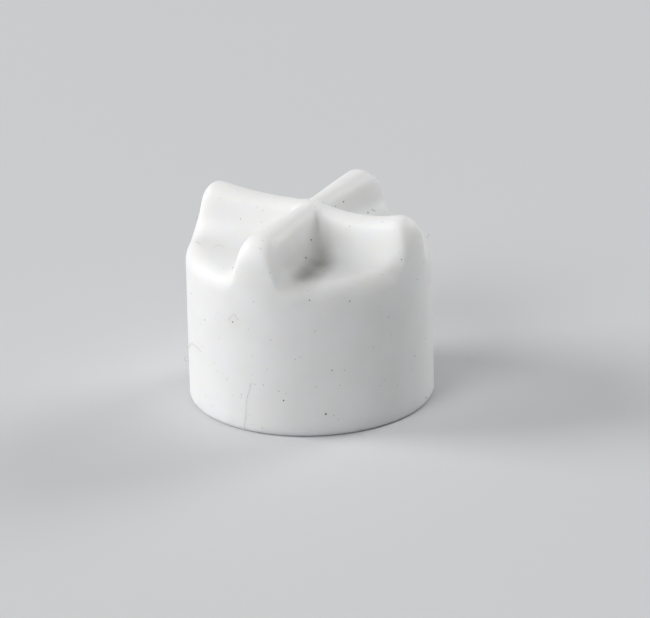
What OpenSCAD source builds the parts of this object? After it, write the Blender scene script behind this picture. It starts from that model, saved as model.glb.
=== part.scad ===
// Magnetic stir bar with a crossed-ridge crown: a round moulded body that stands on
// its flat base, with a bar magnet sealed inside it.
// Millimetres, +Z up, origin at the middle of the base.

/* [Body] */
// Diameter of the moulded body
body_d = 10; // [8:0.5:20]
// Height of the valley floors above the base
floor_h = 6.6; // [6:0.1:12]
// Radius of the edge around the base
base_edge_r = 0.2; // [0.05:0.05:0.6]

/* [Crown] */
// Height of the ridge tops above the valley floors
ridge_rise = 1.7; // [1:0.05:2.5]
// Width of the round between a valley floor and the wall
rim_in = 0.65; // [0.2:0.05:0.9]
// Depth of that round, down the wall
rim_down = 0.7; // [0.2:0.05:1]
// Length of the round over a ridge's end, back along its top
end_in = 0.9; // [0.4:0.05:1.2]
// Depth of that round, down the wall
end_down = 1.1; // [0.4:0.05:1.5]
// Height of the soft fillet between two ridges where they cross
cross_fillet = 0.1; // [0.02:0.02:0.2]

/* [Ridge section at the middle of the crown] */
// Radius over the top of a ridge
mid_top_r = 0.5; // [0.2:0.05:0.9]
// Slope of the flanks, in degrees from level
mid_slope = 64; // [50:1:70]
// Radius of the cove that runs out into the valley floor
mid_cove_r = 1.65; // [0.8:0.05:2.4]

/* [Ridge section at the wall] */
// Half width of the flat along the top of a ridge
end_flat = 0.1; // [0:0.05:0.5]
// Radius of the two edges of that flat
end_top_r = 0.7; // [0.3:0.05:0.9]
// Slope of the flanks, in degrees from level
end_slope = 75; // [60:1:80]
// Radius of the cove that runs out into the valley floor
end_cove_r = 0.7; // [0.3:0.05:1.4]

/* [Unevenness of the moulding] */
// Distance of the crown off the middle of the body, along X
shift_x = 0.15; // [-0.3:0.05:0.3]
// Distance of the crown off the middle of the body, along Y
shift_y = 0.15; // [-0.3:0.05:0.3]
// Turn of the ridge along X, in degrees
turn_x = -0.9; // [-2:0.1:2]
// Turn of the ridge along Y, in degrees
turn_y = 1; // [-2:0.1:2]
// Fall of the ridge tops towards +Y, in degrees
fall_y = 1; // [-2:0.5:2]
// Dip of the ridge top along +X, half way out
dip_right = 0.25; // [0:0.05:0.4]
// Dip of the ridge top along -X, half way out
dip_left = 0.1; // [0:0.05:0.4]

/* [Magnet] */
// Diameter of the bar magnet
magnet_d = 4; // [2:0.5:5]
// Chamfer on the ends of the bar magnet
magnet_chamfer = 0.3; // [0.1:0.05:0.6]
// Thickness of the moulding under the magnet
under_wall = 1.4; // [0.6:0.1:2.2]
// Thickness of the moulding past each end of the magnet
end_wall = 1.4; // [0.6:0.1:2.5]
// Gap left all round the magnet by the moulding
magnet_gap = 0.02; // [0.01:0.01:0.1]

/* [Hidden] */
$fn = 96;

body_r = body_d / 2;
magnet_l = body_d - 2 * (end_wall + magnet_gap);
magnet_h = under_wall + magnet_gap + magnet_d / 2;

// Mesh of the crown. Bands of steps lead from a ridge's centre line over its top, down
// its flank, round its cove and across the floor to the middle of the valley, and rings
// lead from the middle of the crown out to the rim and over it
top_steps = 6;
flank_steps = 2;
cove_steps = 7;
floor_steps = 4;
sector_steps = top_steps + flank_steps + cove_steps + floor_steps;
field_rings = 15;
rim_rings = 8;
// The crown block runs a little past the wall and the base, and the body trims it
trim_over = 0.05;
trim_drop = 0.35;
trim_below = 1;

// A value part of the way from a to b
function between(a, b, t) = a + (b - a) * t;

// Section of a ridge at a distance out along it: half width of its flat, radius of its
// top, slope and radius of its cove, which is limited by the height of the flank
function section_at(along) =
    let (
        t = min(along / body_r, 1),
        flat = between(0, end_flat, t),
        top_r = between(mid_top_r, end_top_r, t),
        slope = between(mid_slope, end_slope, t),
        cove_r = between(mid_cove_r, end_cove_r, t)
    )
    [flat, top_r, slope, min(cove_r, ridge_rise / (1 - cos(slope)) - top_r)];

// Where the top, the flank and the cove of a section end, from the ridge's centre line
function section_ends(section) =
    let (
        flat = section[0],
        top_r = section[1],
        slope = section[2],
        cove_r = section[3],
        foot = flat + (top_r + cove_r) * tan(slope / 2) + ridge_rise / tan(slope)
    )
    [flat + top_r * sin(slope), foot - cove_r * sin(slope), foot];

// Height of a section above the valley floor at a distance to one side of the ridge
function section_height(section, side) =
    let (
        flat = section[0],
        top_r = section[1],
        slope = section[2],
        cove_r = section[3],
        ends = section_ends(section)
    )
    side <= flat ? ridge_rise
    : side <= ends[0] ? ridge_rise - top_r + sqrt(top_r ^ 2 - (side - flat) ^ 2)
    : side <= ends[1] ? cove_r * (1 - cos(slope)) + (ends[1] - side) * tan(slope)
    : side < ends[2] ? cove_r - sqrt(cove_r ^ 2 - (ends[2] - side) ^ 2)
    : 0;

// Height of the two crossed ridges above the valley floors. The crease between them is
// filled where they are within reach of each other, less at the top and at the floor
function cross_height(x, y) =
    let (
        a = section_height(section_at(abs(x)), abs(y)),
        b = section_height(section_at(abs(y)), abs(x)),
        reach = 4 * cross_fillet,
        near = max(reach - abs(a - b), 0) / reach,
        level = min(a, b) / ridge_rise
    )
    max(a, b) + cross_fillet * near ^ 2 * 4 * level * (1 - level);

// How far an oval round over the wall has turned the surface down, near the wall
function edge_drop(out, inward, down) =
    let (into = max(out - (body_r - inward), 0) / inward)
    down * (1 - sqrt(max(1 - into ^ 2, 0)));

// How far the uneven moulding lifts the top of a ridge at a point. The dips run out to
// nothing across the ridge along Y
function crest_lift(x, y) =
    let (
        half_ways = abs(x) / (0.4 * body_r),
        dip = (x > 0 ? dip_right : dip_left) * half_ways * (2 - half_ways),
        share = x == 0 ? 0 : x ^ 2 / (x ^ 2 + y ^ 2)
    )
    -y * tan(fall_y) - dip * share;

// Where the uneven moulding puts a point of the even crown: turned, and shifted with the
// crown, but kept at its distance from the wall
function as_moulded(out, angle) =
    let (
        turn = turn_x * cos(angle) ^ 2 + turn_y * sin(angle) ^ 2,
        place = around(out, angle + turn) + [shift_x, shift_y],
        outwards = min(max(out / body_r - 0.4, 0) / 0.4, 1),
        kept = outwards ^ 2 * (3 - 2 * outwards)
    )
    kept == 0 ? place : place * between(1, out / norm(place), kept);

// A point of the crown's surface
function crown_point(out, angle) =
    let (
        even = around(out, angle),
        place = as_moulded(out, angle),
        rise = cross_height(even.x, even.y),
        level = min(rise / ridge_rise, 1),
        drop = edge_drop(
            norm(place),
            between(rim_in, end_in, level),
            between(rim_down, end_down, level)
        )
    )
    [place.x, place.y, floor_h + rise + level * crest_lift(even.x, even.y) - drop];

// Steps from a up to, but not including, b
function steps_between(a, b, steps) = [for (i = [0 : steps - 1]) between(a, b, i / steps)];

// Angles from a ridge's centre line to the middle of the valley, at a radius. The bands
// follow the ridge, and each takes at most half of the width that is left, so that they
// crowd together towards the middle of the crown
function octant_angles(out) =
    let (
        half = out * sin(45),
        ends = section_ends(section_at(out)),
        top = min(ends[0], half / 2),
        flank = min(ends[1], between(top, half, 1 / 2)),
        cove = min(ends[2], between(flank, half, 1 / 2)),
        sides = concat(
            steps_between(0, top, top_steps),
            steps_between(top, flank, flank_steps),
            steps_between(flank, cove, cove_steps),
            steps_between(cove, half, floor_steps)
        )
    )
    [for (side = sides) asin(side / out)];

// Angles right round the crown at a radius
function ring_angles(out) =
    let (
        octant = octant_angles(out),
        quadrant = concat(octant, 45, [for (i = [sector_steps - 1 : -1 : 1]) 90 - octant[i]])
    )
    [for (quarter = [0 : 3], angle = quadrant) quarter * 90 + angle];

// Radii of the rings, out to just inside the wall
edge_in = max(rim_in, end_in);
ring_radii = concat(
    [for (i = [1 : field_rings]) (body_r - edge_in) * i / field_rings],
    [for (i = [1 : rim_rings]) body_r - edge_in + edge_in * sin(80 * i / rim_rings)]
);

function around(out, angle) = [out * cos(angle), out * sin(angle)];

// Solid block whose top is the crown's surface
module crown_block() {
    sectors = 8 * sector_steps;
    rings = len(ring_radii);
    outer_r = body_r + trim_over;
    surface = [for (out = ring_radii, angle = ring_angles(out)) crown_point(out, angle)];
    skirt = [
        for (angle = ring_angles(body_r))
            let (p = crown_point(body_r, angle))
            [p.x * outer_r / body_r, p.y * outer_r / body_r, p.z - trim_drop]
    ];
    under = [for (p = skirt) [p.x, p.y, -trim_below]];
    middle = [crown_point(0, 0), [0, 0, -trim_below]];
    top_point = (rings + 2) * sectors;
    bottom_point = top_point + 1;
    last_ring = (rings + 1) * sectors;
    cap = [for (j = [0 : sectors - 1]) [top_point, (j + 1) % sectors, j]];
    sides = [
        for (i = [0 : rings], j = [0 : sectors - 1])
            let (
                a = i * sectors + j,
                b = i * sectors + (j + 1) % sectors,
                ridge_before = j % (2 * sector_steps) < sector_steps
            )
            each ridge_before
                ? [[a, b, a + sectors], [b, b + sectors, a + sectors]]
                : [[a, b, b + sectors], [a, b + sectors, a + sectors]]
    ];
    base = [
        for (j = [0 : sectors - 1]) [bottom_point, last_ring + j, last_ring + (j + 1) % sectors]
    ];
    polyhedron(concat(surface, skirt, under, middle), concat(cap, sides, base));
}

// Half section of the body: the wall and the rounded edge of the base
module body_section() {
    translate([0, base_edge_r]) square([body_r, floor_h + ridge_rise]);
    square([body_r - base_edge_r, base_edge_r]);
    translate([body_r - base_edge_r, base_edge_r]) circle(base_edge_r);
}

// Bar with chamfered ends, lying along X at the magnet's height
module bar(d, l, chamfer) {
    translate([0, 0, magnet_h])
    rotate([0, 90, 0])
    rotate_extrude()
    polygon([
        [0, -l / 2],
        [d / 2 - chamfer, -l / 2],
        [d / 2, -l / 2 + chamfer],
        [d / 2, l / 2 - chamfer],
        [d / 2 - chamfer, l / 2],
        [0, l / 2]
    ]);
}

// Moulded body with its crown, closed all round the magnet
module ptfe_jacket() {
    color("whitesmoke")
    difference() {
        intersection() {
            rotate_extrude() body_section();
            crown_block();
        }
        bar(magnet_d + 2 * magnet_gap, magnet_l + 2 * magnet_gap, magnet_chamfer);
    }
}

// Bar magnet, sealed in the body
module magnet() {
    color("slategray") bar(magnet_d, magnet_l, magnet_chamfer);
}

ptfe_jacket();
magnet();
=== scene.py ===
import math

import bmesh
import bpy
from mathutils import Matrix, Quaternion, Vector, noise
from mathutils.bvhtree import BVHTree


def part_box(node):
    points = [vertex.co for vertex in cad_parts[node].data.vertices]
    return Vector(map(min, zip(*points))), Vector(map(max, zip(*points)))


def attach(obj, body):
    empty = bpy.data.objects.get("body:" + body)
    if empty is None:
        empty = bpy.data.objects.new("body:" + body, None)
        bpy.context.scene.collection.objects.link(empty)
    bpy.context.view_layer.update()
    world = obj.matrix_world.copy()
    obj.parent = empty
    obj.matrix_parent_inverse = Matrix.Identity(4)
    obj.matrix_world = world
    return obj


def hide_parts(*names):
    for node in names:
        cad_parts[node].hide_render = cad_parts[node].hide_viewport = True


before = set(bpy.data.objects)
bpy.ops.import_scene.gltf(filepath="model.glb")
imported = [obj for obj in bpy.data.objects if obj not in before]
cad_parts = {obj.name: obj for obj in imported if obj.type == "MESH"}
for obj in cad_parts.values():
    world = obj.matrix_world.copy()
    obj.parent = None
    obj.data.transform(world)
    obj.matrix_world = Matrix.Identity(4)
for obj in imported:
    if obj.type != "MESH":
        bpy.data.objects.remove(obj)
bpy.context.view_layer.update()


# ---------------------------------------------------------------- bar magnet
# A short round bar of cast magnet alloy, ground on its side and its ends. It is laid in
# the mould and the body is moulded round it, so none of it shows.
MM = 0.001


def node_in(material, kind, **settings):
    """A new node in a material, with its own settings."""
    node = material.node_tree.nodes.new(kind)
    for name, value in settings.items():
        setattr(node, name, value)
    return node


def places_in_mm(material):
    """The piece's own coordinates, in millimetres, for the patterns of a material."""
    place = node_in(material, "ShaderNodeTexCoord")
    to_mm = node_in(material, "ShaderNodeMapping")
    to_mm.inputs["Scale"].default_value = (1 / MM, 1 / MM, 1 / MM)
    material.node_tree.links.new(place.outputs["Object"], to_mm.inputs["Vector"])
    return to_mm.outputs["Vector"]


def cloudy(material, places, per_mm, detail=2.0):
    """Soft noise with so many clouds in a millimetre."""
    clouds = node_in(material, "ShaderNodeTexNoise")
    clouds.inputs["Scale"].default_value = per_mm
    clouds.inputs["Detail"].default_value = detail
    material.node_tree.links.new(places, clouds.inputs["Vector"])
    return clouds.outputs["Fac"]


def ranged(material, value, from_low, from_high, to_low, to_high):
    """A value stretched from one range to another and held inside it."""
    stretch = node_in(material, "ShaderNodeMapRange")
    limits = (from_low, from_high, to_low, to_high)
    for name, limit in zip(("From Min", "From Max", "To Min", "To Max"), limits):
        stretch.inputs[name].default_value = limit
    material.node_tree.links.new(value, stretch.inputs["Value"])
    return stretch.outputs["Result"]


def raised(material, height, relief):
    """A bump of so much relief, for a shader's normal."""
    bump = node_in(material, "ShaderNodeBump")
    bump.inputs["Distance"].default_value = relief
    material.node_tree.links.new(height, bump.inputs["Height"])
    return bump.outputs["Normal"]


alloy = bpy.data.materials.new("ground_magnet_alloy")
alloy.use_nodes = True
alloy_shader = alloy.node_tree.nodes["Principled BSDF"]
alloy_shader.inputs["Base Color"].default_value = (0.3, 0.31, 0.33, 1)
alloy_shader.inputs["Metallic"].default_value = 1
alloy_grain = cloudy(alloy, places_in_mm(alloy), 9)
alloy.node_tree.links.new(
    ranged(alloy, alloy_grain, 0.3, 0.7, 0.35, 0.55), alloy_shader.inputs["Roughness"]
)
alloy.node_tree.links.new(raised(alloy, alloy_grain, 0.004 * MM), alloy_shader.inputs["Normal"])
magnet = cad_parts["magnet"]
magnet.data.materials.clear()
magnet.data.materials.append(alloy)


# ---------------------------------------------------------------- moulded jacket
# One white PTFE moulding: a round body on a flat base, with a crown of two crossed
# ridges and four valleys, closed all round the magnet. The ridge section is the moulding
# tool's: a flat, a rounded edge, a straight flank and a cove.
BODY_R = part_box("ptfe_jacket")[1].x
FLOOR_H = 6.6 * MM
RIDGE_RISE = 1.7 * MM
BASE_EDGE_R = 0.2 * MM
RIM_IN, RIM_DOWN = 0.65 * MM, 0.7 * MM
END_IN, END_DOWN = 0.9 * MM, 1.1 * MM
CROSS_FILLET = 0.14 * MM

# flat half width, edge radius, flank slope and cove radius
MID_SECTION = (0.0, 0.5 * MM, math.radians(64), 1.65 * MM)
END_SECTION = (0.1 * MM, 0.7 * MM, math.radians(75), 0.7 * MM)

# The moulding has come out a little uneven: the crown stands off the middle of the body,
# its ridges are out of square, they fall a little towards +Y, and the one along X dips
CROWN_SHIFT = Vector((0.15 * MM, 0.15 * MM))
SHIFT_FADE = (0.4 * BODY_R, 0.8 * BODY_R)
X_RIDGE_TURN, Y_RIDGE_TURN = math.radians(-0.9), math.radians(1)
CREST_FALL = math.radians(1)
RIGHT_DIP, LEFT_DIP = 0.25 * MM, 0.1 * MM

# The ridge towards -X falls short of the wall, and the round over its end is tighter
LEFT_SHORT = 0.25 * MM
LEFT_IN, LEFT_DOWN = 0.5 * MM, 0.6 * MM


def between(a, b, t):
    """A value part of the way from a to b."""
    return a + (b - a) * t


def stepped(value, edge):
    """A step from 0 to 1 between the start and the end of an edge, soft at both."""
    start, end = edge
    t = min(max((value - start) / (end - start), 0), 1)
    return t * t * (3 - 2 * t)


def ridge_section(along):
    """The section of a ridge at a distance out along it."""
    t = min(along / BODY_R, 1)
    flat, top_r, slope, cove_r = (between(a, b, t) for a, b in zip(MID_SECTION, END_SECTION))
    return flat, top_r, slope, min(cove_r, RIDGE_RISE / (1 - math.cos(slope)) - top_r)


def section_ends(section):
    """Where the top, the flank and the cove of a section end, from its centre line."""
    flat, top_r, slope, cove_r = section
    foot = flat + (top_r + cove_r) * math.tan(slope / 2) + RIDGE_RISE / math.tan(slope)
    return flat + top_r * math.sin(slope), foot - cove_r * math.sin(slope), foot


def section_height(section, side):
    """Height of a section above the valley floor, to one side of its centre line."""
    flat, top_r, slope, cove_r = section
    top_end, flank_end, foot = section_ends(section)
    if side <= flat:
        return RIDGE_RISE
    if side <= top_end:
        return RIDGE_RISE - top_r + math.sqrt(top_r ** 2 - (side - flat) ** 2)
    if side <= flank_end:
        return cove_r * (1 - math.cos(slope)) + (flank_end - side) * math.tan(slope)
    if side < foot:
        return cove_r - math.sqrt(cove_r ** 2 - (foot - side) ** 2)
    return 0.0


def cross_height(x, y):
    """Height of the crossed ridges, with the crease between them softly filled."""
    a = section_height(ridge_section(abs(x)), abs(y))
    b = section_height(ridge_section(abs(y)), abs(x))
    reach = 4 * CROSS_FILLET
    near = max(reach - abs(a - b), 0) / reach
    level = min(a, b) / RIDGE_RISE
    return max(a, b) + CROSS_FILLET * near ** 2 * 4 * level * (1 - level)


def crest_lift(x, y):
    """How far the uneven moulding lifts the top of a ridge, with a dip to each side."""
    half_ways = abs(x) / (0.4 * BODY_R)
    dip = (RIGHT_DIP if x > 0 else LEFT_DIP) * half_ways * (2 - half_ways)
    share = x * x / (x * x + y * y) if x else 0
    return -y * math.tan(CREST_FALL) - dip * share


def edge_drop(out, inward, down):
    """How far an oval round over the wall has turned the surface down, near the wall."""
    into = max(out - (BODY_R - inward), 0) / inward
    return down * (1 - math.sqrt(max(1 - into ** 2, 0)))


def as_moulded(out, angle):
    """Place of a point of the even crown: turned, shifted, and kept at the wall."""
    turn = X_RIDGE_TURN * math.cos(angle) ** 2 + Y_RIDGE_TURN * math.sin(angle) ** 2
    place = out * Vector((math.cos(angle + turn), math.sin(angle + turn))) + CROWN_SHIFT
    kept = stepped(out, SHIFT_FADE)
    return place * between(1, out / place.length, kept) if kept else place


def crown_point(out, angle):
    """A point of the crown's surface, and its level between a valley floor and a crest."""
    x, y = out * math.cos(angle), out * math.sin(angle)
    place = as_moulded(out, angle)
    rise = cross_height(x, y)
    level = min(rise / RIDGE_RISE, 1)
    left = max(-math.cos(angle), 0) ** 2
    inward = between(RIM_IN, between(END_IN, LEFT_IN, left), level)
    down = between(RIM_DOWN, between(END_DOWN, LEFT_DOWN, left), level)
    height = FLOOR_H + rise + level * crest_lift(x, y) - edge_drop(place.length, inward, down)
    short = LEFT_SHORT * left * stepped(out, SHIFT_FADE) * stepped(level, (0, 0.8))
    if short:
        place *= 1 - short / place.length
    return Vector((place.x, place.y, height)), level


TOP_STEPS, FLANK_STEPS, COVE_STEPS, FLOOR_STEPS = 12, 4, 14, 8
OCTANT_STEPS = TOP_STEPS + FLANK_STEPS + COVE_STEPS + FLOOR_STEPS


def octant_angles(out):
    """Angles from a ridge to the middle of a valley, with the steps along the ridge."""
    half = out * math.sin(math.radians(45))
    top_end, flank_end, foot = section_ends(ridge_section(out))
    top = min(top_end, half / 2)
    flank = min(flank_end, (top + half) / 2)
    cove = min(foot, (flank + half) / 2)
    bands = [(0, top, TOP_STEPS), (top, flank, FLANK_STEPS), (flank, cove, COVE_STEPS)]
    bands.append((cove, half, FLOOR_STEPS))
    return [
        math.asin(between(a, b, i / steps) / out) for a, b, steps in bands for i in range(steps)
    ]


def ring_angles(out):
    """Angles right round the crown, from one ridge to the next and back."""
    octant = octant_angles(out)
    quarter = math.radians(90)
    back = [quarter - angle for angle in reversed(octant[1:])]
    quadrant = octant + [quarter / 2] + back
    return [k * quarter + angle for k in range(4) for angle in quadrant]


# The half section that is spun: middle of the base, base edge, wall, rim, middle of the crown
BASE_STEPS = 6
WALL_RINGS = [0.3 * MM, 0.6 * MM, 2 * MM, 3.5 * MM, 4.7 * MM, 5.4 * MM]
RIM_RINGS = 16
FIELD_RINGS = 44
edge_in = max(RIM_IN, END_IN)
half_section = [(0, 0)]
for step in range(BASE_STEPS + 1):
    turn = math.radians(90) * step / BASE_STEPS
    half_section.append(
        (BODY_R - BASE_EDGE_R * (1 - math.sin(turn)), BASE_EDGE_R * (1 - math.cos(turn)))
    )
half_section += [(BODY_R, h) for h in WALL_RINGS]
for step in range(RIM_RINGS, 0, -1):
    out = BODY_R - edge_in * (1 - math.sin(math.radians(90) * step / RIM_RINGS))
    half_section.append((out, FLOOR_H))
for step in range(FIELD_RINGS, 0, -1):
    half_section.append(((BODY_R - edge_in) * step / FIELD_RINGS, FLOOR_H))
half_section.append((0, FLOOR_H))

jacket_bm = bmesh.new()
outline = [jacket_bm.verts.new((out, 0, h)) for out, h in half_section]
edges = [jacket_bm.edges.new(pair) for pair in zip(outline, outline[1:])]
sectors = 8 * OCTANT_STEPS
bmesh.ops.spin(
    jacket_bm, geom=outline + edges, cent=(0, 0, 0), axis=(0, 0, 1),
    angle=math.radians(360), steps=sectors, use_merge=True,
)
bmesh.ops.remove_doubles(jacket_bm, verts=jacket_bm.verts, dist=1e-7)

# Turn each ring's points to follow the ridges, raise the crown to its height, and give
# the whole surface the faint waves that a moulding keeps. A thin grey film, partly dirt and
# partly painted shade, lies on the flanks and coves round the crossing. A dark blotch lies
# at the foot of the ridge towards -Y, on its +X side. It is partly dirt and partly a painted
# shadow of that ridge
WAVE, WAVE_LENGTH = 0.012 * MM, 1.6 * MM
FILM_AND_SHADE_SHARE, FILM_AND_SHADE_REACH = 0.5, 0.85 * BODY_R
BLOTCH_INNER_EDGE, BLOTCH_OUTER_EDGE = (0.6 * MM, 1.6 * MM), (1.6 * MM, 2.7 * MM)
BLOTCH_CREASE_EDGE, BLOTCH_WALL_EDGE = (-0.9 * MM, 0.6 * MM), (3.4 * MM, 5 * MM)


def blotch_at(x, y):
    """How thick the blotch of dirt and painted shadow lies, beside the ridge towards -Y and up
    to its crease.
    """
    beside = stepped(x, BLOTCH_INNER_EDGE) * (1 - stepped(x, BLOTCH_OUTER_EDGE))
    along = stepped(-y - x, BLOTCH_CREASE_EDGE) * (1 - stepped(-y, BLOTCH_WALL_EDGE))
    return beside * along


dirt_and_shade = jacket_bm.verts.layers.float.new("dirt_and_shade")
angles_at = {}
for vert in jacket_bm.verts:
    out = math.hypot(vert.co.x, vert.co.y)
    sector = round(math.atan2(vert.co.y, vert.co.x) / math.radians(360) * sectors) % sectors
    on_crown = vert.co.z > FLOOR_H - 1e-7
    ring_out = out if on_crown else BODY_R
    key = round(ring_out / (1e-3 * MM))
    if key not in angles_at:
        angles_at[key] = ring_angles(ring_out) if key else [0] * sectors
    angle = angles_at[key][sector]
    if on_crown:
        vert.co, level = crown_point(out, angle)
        # The grey is partly dirt and partly painted shade: a film near the crossing, and the
        # blotch
        film_and_shade = FILM_AND_SHADE_SHARE * level * (1 - level) * max(1 - out / FILM_AND_SHADE_REACH, 0)
        vert[dirt_and_shade] = max(film_and_shade, blotch_at(out * math.cos(angle), out * math.sin(angle)))
    else:
        place = as_moulded(BODY_R, angle)
        vert.co.xy = place * (out / BODY_R)
    if vert.co.z > BASE_EDGE_R:
        vert.co.xy *= 1 + WAVE / BODY_R * noise.noise(vert.co / WAVE_LENGTH)
        if on_crown and out < BODY_R - RIM_IN:
            vert.co.z += WAVE * noise.noise(vert.co / WAVE_LENGTH + Vector((7, 0, 0)))
bmesh.ops.recalc_face_normals(jacket_bm, faces=jacket_bm.faces)
for face in jacket_bm.faces:
    face.smooth = True

jacket_mesh = bpy.data.meshes.new("jacket")
jacket_bm.to_mesh(jacket_mesh)
jacket_bm.free()
jacket = bpy.data.objects.new("jacket", jacket_mesh)
bpy.context.scene.collection.objects.link(jacket)


def blended(material, under, over, share):
    """One colour laid over another by a share from 0 to 1."""
    mix = node_in(material, "ShaderNodeMix", data_type="RGBA")
    links = material.node_tree.links
    for socket, value in ((6, under), (7, over), (0, share)):
        if isinstance(value, tuple):
            mix.inputs[socket].default_value = value
        else:
            links.new(value, mix.inputs[socket])
    return mix.outputs[2]


def times(material, a, b):
    """Two values multiplied, or a value scaled by a number."""
    product = node_in(material, "ShaderNodeMath", operation="MULTIPLY")
    for socket, value in enumerate((a, b)):
        if isinstance(value, (int, float)):
            product.inputs[socket].default_value = value
        else:
            material.node_tree.links.new(value, product.inputs[socket])
    return product.outputs["Value"]


PTFE_WHITE = (0.87, 0.873, 0.878, 1)
PTFE_CREAM = (0.84, 0.838, 0.825, 1)
# grey of the dirt and the painted shade, laid over the white
DIRT_AND_SHADE_GREY = (0.34, 0.335, 0.315, 1)
PEPPER_GREY = (0.30, 0.28, 0.26, 1)

ptfe = bpy.data.materials.new("moulded_ptfe")
ptfe.use_nodes = True
ptfe_links = ptfe.node_tree.links
places = places_in_mm(ptfe)

# Sintered PTFE is faintly clouded. Round the crossing and at the foot of the ridge towards -Y
# it is greyed in patches, partly by dirt and partly by painted shade. It also has fine dark
# grains pressed into it
clouds = ranged(ptfe, cloudy(ptfe, places, 0.8, 4), 0.35, 0.7, 0, 0.7)
dirt_and_shade_here = node_in(ptfe, "ShaderNodeAttribute", attribute_name="dirt_and_shade")
dirt_and_shade_patches = ranged(ptfe, cloudy(ptfe, places, 1.7, 5), 0.3, 0.7, 0.78, 1)
dirt_and_shade_share = times(ptfe, dirt_and_shade_here.outputs["Fac"], dirt_and_shade_patches)
pepper = node_in(ptfe, "ShaderNodeTexVoronoi")
pepper.inputs["Scale"].default_value = 2.4
ptfe_links.new(places, pepper.inputs["Vector"])
grains = ranged(ptfe, pepper.outputs["Distance"], 0.045, 0.075, 0.5, 0)
ptfe_colour = blended(ptfe, PTFE_WHITE, PTFE_CREAM, clouds)
ptfe_colour = blended(ptfe, ptfe_colour, DIRT_AND_SHADE_GREY, dirt_and_shade_share)
ptfe_colour = blended(ptfe, ptfe_colour, PEPPER_GREY, grains)

# Its skin is waxy: a fine orange peel over broader, shallower hollows
peel = cloudy(ptfe, places, 14, 3)
hollows = cloudy(ptfe, places, 2.2, 2)
skin = node_in(ptfe, "ShaderNodeMath", operation="MULTIPLY_ADD")
ptfe_links.new(hollows, skin.inputs[0])
skin.inputs[1].default_value = 3
ptfe_links.new(peel, skin.inputs[2])

shader = ptfe.node_tree.nodes["Principled BSDF"]
ptfe_links.new(ptfe_colour, shader.inputs["Base Color"])
ptfe_links.new(ranged(ptfe, peel, 0.3, 0.7, 0.44, 0.56), shader.inputs["Roughness"])
ptfe_links.new(raised(ptfe, skin.outputs["Value"], 0.0012 * MM), shader.inputs["Normal"])
shader.inputs["IOR"].default_value = 1.36
shader.inputs["Subsurface Weight"].default_value = 1
shader.inputs["Subsurface Radius"].default_value = (1.0, 0.95, 0.85)
shader.inputs["Subsurface Scale"].default_value = 0.7 * MM
jacket.data.materials.append(ptfe)
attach(jacket, "root")
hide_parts("ptfe_jacket")


# ---------------------------------------------------------------- specks in the moulding
# Flat grains of dust and burnt resin, pressed into the moulding and half sunk in it. Each
# is given by its place and its radius, in millimetres.
GRAIN_SHAPE = Matrix.Diagonal((1, 0.8, 0.3, 1))
GRAIN_ROUGHNESS, GRAIN_FACET = 0.15, 0.03 * MM
SPECKS = [
    ((0.49, 0.44, 8.2), 0.035), ((0.70, 1.74, 7.8), 0.04), ((0.65, 1.11, 7.8), 0.025),
    ((1.09, 3.02, 6.9), 0.04), ((0.95, -1.44, 7.3), 0.04), ((1.24, -2.42, 6.9), 0.045),
    ((2.29, -2.70, 6.6), 0.025), ((3.77, -3.29, 5.8), 0.03), ((2.50, -4.33, 6.0), 0.03),
    ((-1.14, -4.16, 6.7), 0.035), ((-2.76, -0.61, 7.3), 0.02), ((0.46, -0.15, 8.2), 0.018),
    ((4.81, -0.81, 6.9), 0.025), ((4.99, 0.13, 5.7), 0.02), ((4.69, -1.75, 4.7), 0.02),
    ((-0.77, -4.94, 4.7), 0.035), ((0.97, -4.90, 4.2), 0.018), ((-2.39, -4.39, 4.3), 0.02),
    ((-1.51, -4.77, 3.8), 0.015), ((0.16, -5.00, 3.4), 0.015), ((3.18, -3.86, 2.9), 0.025),
    ((4.95, 0.73, 2.9), 0.02), ((5.00, -0.23, 2.5), 0.025), ((-1.71, -4.70, 2.3), 0.018),
    ((3.42, -3.65, 2.2), 0.018), ((0.60, -4.96, 2.2), 0.018), ((-1.16, -4.87, 2.1), 0.02),
    ((1.25, -4.84, 2.0), 0.02), ((1.42, -4.79, 1.6), 0.035), ((-0.43, -4.98, 1.6), 0.02),
    ((2.94, -4.04, 1.0), 0.045), ((4.95, 0.72, 0.3), 0.03), ((0.49, -4.98, 0.3), 0.02),
    ((-4.30, 2.50, 3.4), 0.03), ((-4.90, -0.80, 1.2), 0.03), ((-2.90, -3.05, 5.0), 0.02),
    ((-2.10, 4.50, 1.9), 0.035), ((-2.60, 2.20, 6.6), 0.03), ((-0.70, 4.95, 5.1), 0.02),
    ((2.40, 2.90, 6.6), 0.025), ((0.60, 4.95, 3.0), 0.025), ((3.30, 3.70, 4.2), 0.03),
]
surface = BVHTree.FromObject(jacket, bpy.context.evaluated_depsgraph_get())
speck_bm = bmesh.new()
for place, radius in SPECKS:
    on_skin, normal, _, _ = surface.find_nearest(Vector(place) * MM)
    lie = Matrix.Translation(on_skin) @ normal.to_track_quat("Z", "Y").to_matrix().to_4x4()
    grain = bmesh.ops.create_icosphere(
        speck_bm, subdivisions=2, radius=radius * MM, matrix=lie @ GRAIN_SHAPE
    )
    for vert in grain["verts"]:
        vert.co += GRAIN_ROUGHNESS * radius * MM * noise.noise_vector(vert.co / GRAIN_FACET)
speck_mesh = bpy.data.meshes.new("specks")
speck_bm.to_mesh(speck_mesh)
speck_bm.free()
specks = bpy.data.objects.new("specks", speck_mesh)
bpy.context.scene.collection.objects.link(specks)

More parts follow.
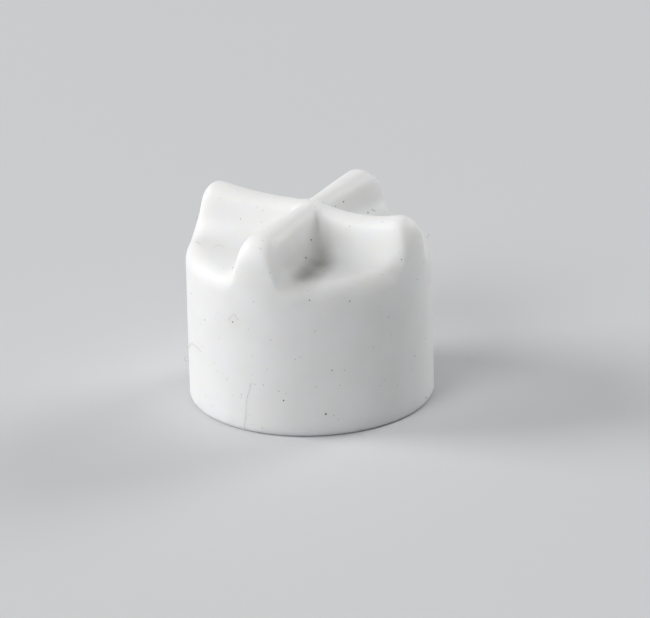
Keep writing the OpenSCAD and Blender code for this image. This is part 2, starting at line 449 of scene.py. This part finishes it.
burnt = bpy.data.materials.new("burnt_grain")
burnt.use_nodes = True
burnt_shader = burnt.node_tree.nodes["Principled BSDF"]
burnt_tone = ranged(burnt, cloudy(burnt, places_in_mm(burnt), 20), 0.35, 0.65, 0, 1)
burnt_colour = blended(burnt, (0.05, 0.045, 0.04, 1), (0.16, 0.14, 0.12, 1), burnt_tone)
burnt.node_tree.links.new(burnt_colour, burnt_shader.inputs["Base Color"])
burnt_shader.inputs["Roughness"].default_value = 0.8
specks.data.materials.append(burnt)
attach(specks, "root")


# ---------------------------------------------------------------- lint
# Loose fibres and shreds of tissue and cloth that cling to the waxy surface. Each is given
# by its radius and its points, with how far each stands off the surface, in millimetres.
FIBRES = {
    "long_hair": (0.006, [
        ((0.07, -5.00, 2.22), 0), ((-0.07, -5.00, 1.78), 0.02), ((-0.21, -5.00, 1.21), 0.01),
        ((-0.25, -4.99, 0.74), 0), ((-0.30, -4.99, 0.4), 0.02), ((-0.32, -4.98, 0.1), 0.03),
    ]),
    "bent_hair": (0.006, [
        ((-4.22, -2.70, 2.1), 0.08), ((-3.83, -3.21, 2.47), 0.01), ((-3.52, -3.55, 2.76), 0.02),
        ((-3.30, -3.75, 2.80), 0.01), ((-3.07, -3.94, 2.81), 0), ((-2.73, -4.19, 2.76), 0),
    ]),
    "wall_loop": (0.008, [
        ((-4.29, -2.57, 1.65), 0), ((-4.29, -2.57, 1.67), 0.10), ((-4.29, -2.57, 1.58), 0.17),
        ((-4.29, -2.57, 1.48), 0.10), ((-4.29, -2.57, 1.50), 0.01),
    ]),
    "tuft_long": (0.008, [
        ((-4.80, -0.65, 6.81), 0), ((-4.79, -0.64, 6.90), 0.06), ((-4.76, -0.62, 7.02), 0.12),
    ]),
    "tuft_short": (0.008, [((-4.79, -0.66, 6.83), 0), ((-4.75, -0.66, 7.00), 0.04)]),
    "rim_hair": (0.008, [
        ((3.80, 3.10, 6.2), 0), ((3.83, 3.12, 6.3), 0.08), ((3.87, 3.10, 6.4), 0.18),
    ]),
    "valley_curl": (0.005, [
        ((-3.09, -2.30, 6.6), 0), ((-3.02, -2.06, 6.6), 0.02), ((-2.86, -2.05, 6.6), 0.01),
        ((-2.71, -2.17, 6.6), 0),
    ]),
    "rim_shred": (0.007, [
        ((-4.14, -1.96, 6.55), 0), ((-3.95, -2.10, 6.6), 0.01), ((-3.72, -2.28, 6.6), 0),
    ]),
    "flank_shred": (0.014, [((1.05, 3.38, 6.9), 0), ((1.15, 3.52, 6.8), 0)]),
    "wall_fluff": (0.005, [
        ((-1.02, -4.90, 4.70), 0), ((-0.80, -4.94, 4.95), 0.02), ((-0.64, -4.96, 5.07), 0.01),
        ((-0.54, -4.97, 4.92), 0.02), ((-0.46, -4.98, 4.86), 0),
    ]),
    "back_hair": (0.006, [
        ((1.90, 4.62, 5.4), 0), ((1.75, 4.68, 5.0), 0.03), ((1.40, 4.80, 4.7), 0.01),
        ((0.95, 4.91, 4.75), 0),
    ]),
}
lint = bpy.data.materials.new("lint_fibre")
lint.use_nodes = True
lint_shader = lint.node_tree.nodes["Principled BSDF"]
lint_tone = ranged(lint, cloudy(lint, places_in_mm(lint), 6), 0.35, 0.65, 0, 1)
lint_colour = blended(lint, (0.60, 0.58, 0.57, 1), (0.42, 0.41, 0.42, 1), lint_tone)
lint.node_tree.links.new(lint_colour, lint_shader.inputs["Base Color"])
lint_shader.inputs["Roughness"].default_value = 0.6
for name, (radius, points) in FIBRES.items():
    line = bpy.data.curves.new(name, "CURVE")
    line.dimensions = "3D"
    line.bevel_depth = radius * MM
    line.bevel_resolution = 1
    line.use_fill_caps = True
    spline = line.splines.new("BEZIER")
    spline.bezier_points.add(len(points) - 1)
    for point, (place, lift) in zip(spline.bezier_points, points):
        on_skin, normal, _, _ = surface.find_nearest(Vector(place) * MM)
        point.co = on_skin + normal * (lift + 0.5 * radius) * MM
        point.handle_left_type = point.handle_right_type = "AUTO"
    bent_line = bpy.data.objects.new(name + "_line", line)
    bpy.context.scene.collection.objects.link(bent_line)
    fibre_mesh = bpy.data.meshes.new_from_object(
        bent_line.evaluated_get(bpy.context.evaluated_depsgraph_get())
    )
    bpy.data.objects.remove(bent_line)
    fibre = bpy.data.objects.new(name, fibre_mesh)
    bpy.context.scene.collection.objects.link(fibre)
    fibre.data.materials.append(lint)
    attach(fibre, "root")


# ---------------------------------------------------------------- floor
# A plain pale sheet of matt painted board, laid flat and far wider than the view. The
# stir bar stands on it by its own weight and throws its shadow on it.
FLOOR_HALF_WIDTH = 3
floor_bm = bmesh.new()
bmesh.ops.create_grid(floor_bm, x_segments=1, y_segments=1, size=FLOOR_HALF_WIDTH)
floor_mesh = bpy.data.meshes.new("floor")
floor_bm.to_mesh(floor_mesh)
floor_bm.free()
floor = bpy.data.objects.new("floor", floor_mesh)
bpy.context.scene.collection.objects.link(floor)
board = bpy.data.materials.new("pale_board")
board.use_nodes = True
board_shader = board.node_tree.nodes["Principled BSDF"]
board_shader.inputs["Base Color"].default_value = (0.66, 0.67, 0.68, 1)
board_shader.inputs["Roughness"].default_value = 0.7
floor.data.materials.append(board)


# ---------------------------------------------------------------- lamps and camera
# A softbox stands to the left of the camera and rakes across the crown. Weaker ones at the
# front, over it and at the back keep the other flanks open, and pale walls all round give
# the rest. The camera looks down on the crown with a long lens, between -Y and +X.
CAMERA_AZIMUTH, CAMERA_ELEVATION = 30, 22
CAMERA_TARGET = Vector((0, 0, 4 * MM))
CAMERA_DISTANCE, CAMERA_ROLL = 0.4, math.radians(-1.63)
SOFTBOX_DISTANCE, SOFTBOX_WIDTH = 0.8, 0.4


def seen_from(azimuth, elevation):
    """The way out to a place: degrees round from -Y towards +X, and degrees up."""
    turn, lift = math.radians(azimuth), math.radians(elevation)
    level = math.cos(lift)
    return Vector((math.sin(turn) * level, -math.cos(turn) * level, math.sin(lift)))


def softbox(name, azimuth, elevation, power):
    """A round softbox aimed at the stir bar."""
    lamp = bpy.data.lights.new(name, "AREA")
    lamp.shape = "DISK"
    lamp.size = SOFTBOX_WIDTH
    lamp.energy = power
    stand = bpy.data.objects.new(name, lamp)
    out = seen_from(azimuth, elevation)
    stand.location = CAMERA_TARGET + SOFTBOX_DISTANCE * out
    stand.rotation_euler = out.to_track_quat("Z", "Y").to_euler()
    bpy.context.scene.collection.objects.link(stand)


softbox("key", CAMERA_AZIMUTH - 98, 28, 3.75)
softbox("fill", CAMERA_AZIMUTH - 38, 35, 1.9)
softbox("top", CAMERA_AZIMUTH, 85, 1.2)
softbox("back", CAMERA_AZIMUTH + 125, 24, 2.5)

walls = bpy.data.worlds.new("pale_walls")
walls.use_nodes = True
wall_light = walls.node_tree.nodes["Background"]
wall_light.inputs["Color"].default_value = (1, 1, 1, 1)
wall_light.inputs["Strength"].default_value = 0.15
bpy.context.scene.world = walls

camera_data = bpy.data.cameras.new("camera")
camera_data.lens = 542.7
camera_data.sensor_width = 36
camera_data.shift_x = 0.0238
camera_data.shift_y = -0.0142
camera_data.clip_start = 0.01
camera_data.clip_end = 10
camera = bpy.data.objects.new("camera", camera_data)
view_out = seen_from(CAMERA_AZIMUTH, CAMERA_ELEVATION)
camera.location = CAMERA_TARGET + CAMERA_DISTANCE * view_out
camera.rotation_mode = "QUATERNION"
roll = Quaternion((0, 0, 1), CAMERA_ROLL)
camera.rotation_quaternion = view_out.to_track_quat("Z", "Y") @ roll
bpy.context.scene.collection.objects.link(camera)
bpy.context.scene.camera = camera
bpy.context.scene.view_settings.view_transform = "Standard"
